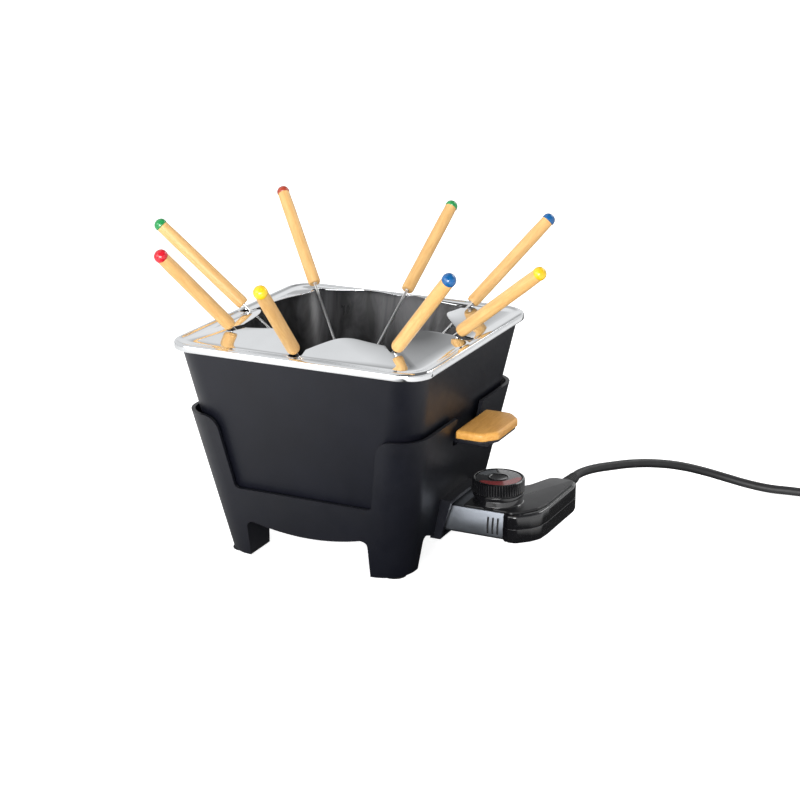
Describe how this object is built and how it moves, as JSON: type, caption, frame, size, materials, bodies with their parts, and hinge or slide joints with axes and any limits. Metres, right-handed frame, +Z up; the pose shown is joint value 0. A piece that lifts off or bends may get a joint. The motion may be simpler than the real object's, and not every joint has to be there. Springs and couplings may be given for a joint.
{
  "type": "fondue pot set",
  "caption": "Electric fondue set: tapered square pot in a legged base, with wooden grips, a splash guard holding eight forks, and a plug-in thermostat on a mains lead.",
  "frame": {"origin": "centre of the bounding box's bottom face without the lead, which is the pot's axis on the surface that the set stands on", "axes": "+Z up along the pot's axis; +X towards the thermostat; +Y to the back"},
  "size_m": [0.588, 0.5369, 0.2488],
  "materials": {
    "black_plastic": "satin black moulded plastic",
    "gloss_black": "glossy black moulded plastic",
    "pot_coating": "satin black non-stick coating on cast aluminium",
    "mirror_steel": "mirror-polished stainless steel",
    "steel": "drawn stainless steel",
    "brass": "turned brass",
    "silver_paint": "silver-grey paint",
    "bamboo": "oiled bamboo",
    "beech": "smooth lacquered beech",
    "rubber": "black rubber",
    "lead_rubber": "black flexible lead jacket",
    "white_plastic": "off-white technical plastic",
    "dial_print": "printed dial, red scale on black",
    "cap_red": "glossy lacquer",
    "cap_green": "glossy lacquer",
    "cap_yellow": "glossy lacquer",
    "cap_blue": "glossy lacquer"
  },
  "bodies": {
    "base": {"base_frame": "black_plastic", "heat_shield": "steel", "rubber_foot_1": "rubber", "rubber_foot_2": "rubber", "rubber_foot_3": "rubber", "rubber_foot_4": "rubber", "pot_shell": "pot_coating", "heating_element": "steel", "socket_housing": "black_plastic", "terminal_pin_1": "steel", "terminal_pin_2": "steel", "handle_bracket_right": "black_plastic", "handle_underlay_right": "black_plastic", "handle_grip_right": "bamboo", "handle_bracket_left": "black_plastic", "handle_underlay_left": "black_plastic", "handle_grip_left": "bamboo"},
    "guard": {"splash_guard": "mirror_steel"},
    "fork_1": {"fork_shaft_1": "steel", "fork_handle_1": "beech", "fork_cap_1": "cap_red"},
    "fork_2": {"fork_shaft_2": "steel", "fork_handle_2": "beech", "fork_cap_2": "cap_green"},
    "fork_3": {"fork_shaft_3": "steel", "fork_handle_3": "beech", "fork_cap_3": "cap_red"},
    "fork_4": {"fork_shaft_4": "steel", "fork_handle_4": "beech", "fork_cap_4": "cap_yellow"},
    "fork_5": {"fork_shaft_5": "steel", "fork_handle_5": "beech", "fork_cap_5": "cap_green"},
    "fork_6": {"fork_shaft_6": "steel", "fork_handle_6": "beech", "fork_cap_6": "cap_blue"},
    "fork_7": {"fork_shaft_7": "steel", "fork_handle_7": "beech", "fork_cap_7": "cap_blue"},
    "fork_8": {"fork_shaft_8": "steel", "fork_handle_8": "beech", "fork_cap_8": "cap_yellow"},
    "thermostat": {"plug_sleeve": "silver_paint", "contact_block": "white_plastic", "probe_rod": "steel", "thermostat_switch": "white_plastic", "lower_shell": "gloss_black", "upper_shell": "gloss_black", "strain_relief": "lead_rubber", "mains_lead": "lead_rubber", "lead_coil": "lead_rubber", "coil_tie": "black_plastic", "lead_tail": "lead_rubber", "plug_body": "lead_rubber", "plug_pin_1": "steel", "plug_pin_2": "steel"},
    "knob": {"knob_spindle": "brass", "control_knob": "gloss_black", "knob_dial": "dial_print"}
  },
  "joints": [
    {"name": "guard_lift", "type": "slide", "parent": "base", "child": "guard", "axis": [0, 0, 1], "range_m": [0, 0.15]},
    {"name": "fork_1_pull", "type": "slide", "parent": "guard", "child": "fork_1", "axis": [-0.2185, -0.6725, 0.7071], "range_m": [0, 0.13]},
    {"name": "fork_2_pull", "type": "slide", "parent": "guard", "child": "fork_2", "axis": [-0.7064, -0.1893, 0.682], "range_m": [0, 0.13]},
    {"name": "fork_3_pull", "type": "slide", "parent": "guard", "child": "fork_3", "axis": [-0.5474, 0.4277, 0.7193], "range_m": [0, 0.13]},
    {"name": "fork_4_pull", "type": "slide", "parent": "guard", "child": "fork_4", "axis": [0.1311, -0.7432, 0.6561], "range_m": [0, 0.13]},
    {"name": "fork_5_pull", "type": "slide", "parent": "guard", "child": "fork_5", "axis": [0.094, 0.7659, 0.6361], "range_m": [0, 0.13]},
    {"name": "fork_6_pull", "type": "slide", "parent": "guard", "child": "fork_6", "axis": [0.6114, -0.3674, 0.7009], "range_m": [0, 0.13]},
    {"name": "fork_7_pull", "type": "slide", "parent": "guard", "child": "fork_7", "axis": [0.4837, 0.5564, 0.6756], "range_m": [0, 0.13]},
    {"name": "fork_8_pull", "type": "slide", "parent": "guard", "child": "fork_8", "axis": [0.7646, -0.1906, 0.6157], "range_m": [0, 0.13]},
    {"name": "thermostat_unplug", "type": "slide", "parent": "base", "child": "thermostat", "axis": [1, 0, 0], "range_m": [0, 0.06]},
    {"name": "knob_turn", "type": "hinge", "parent": "thermostat", "child": "knob", "pos_m": [0.1216, 0, 0.06], "axis": [0, 0, 1], "range_deg": [0, 270]}
  ]
}
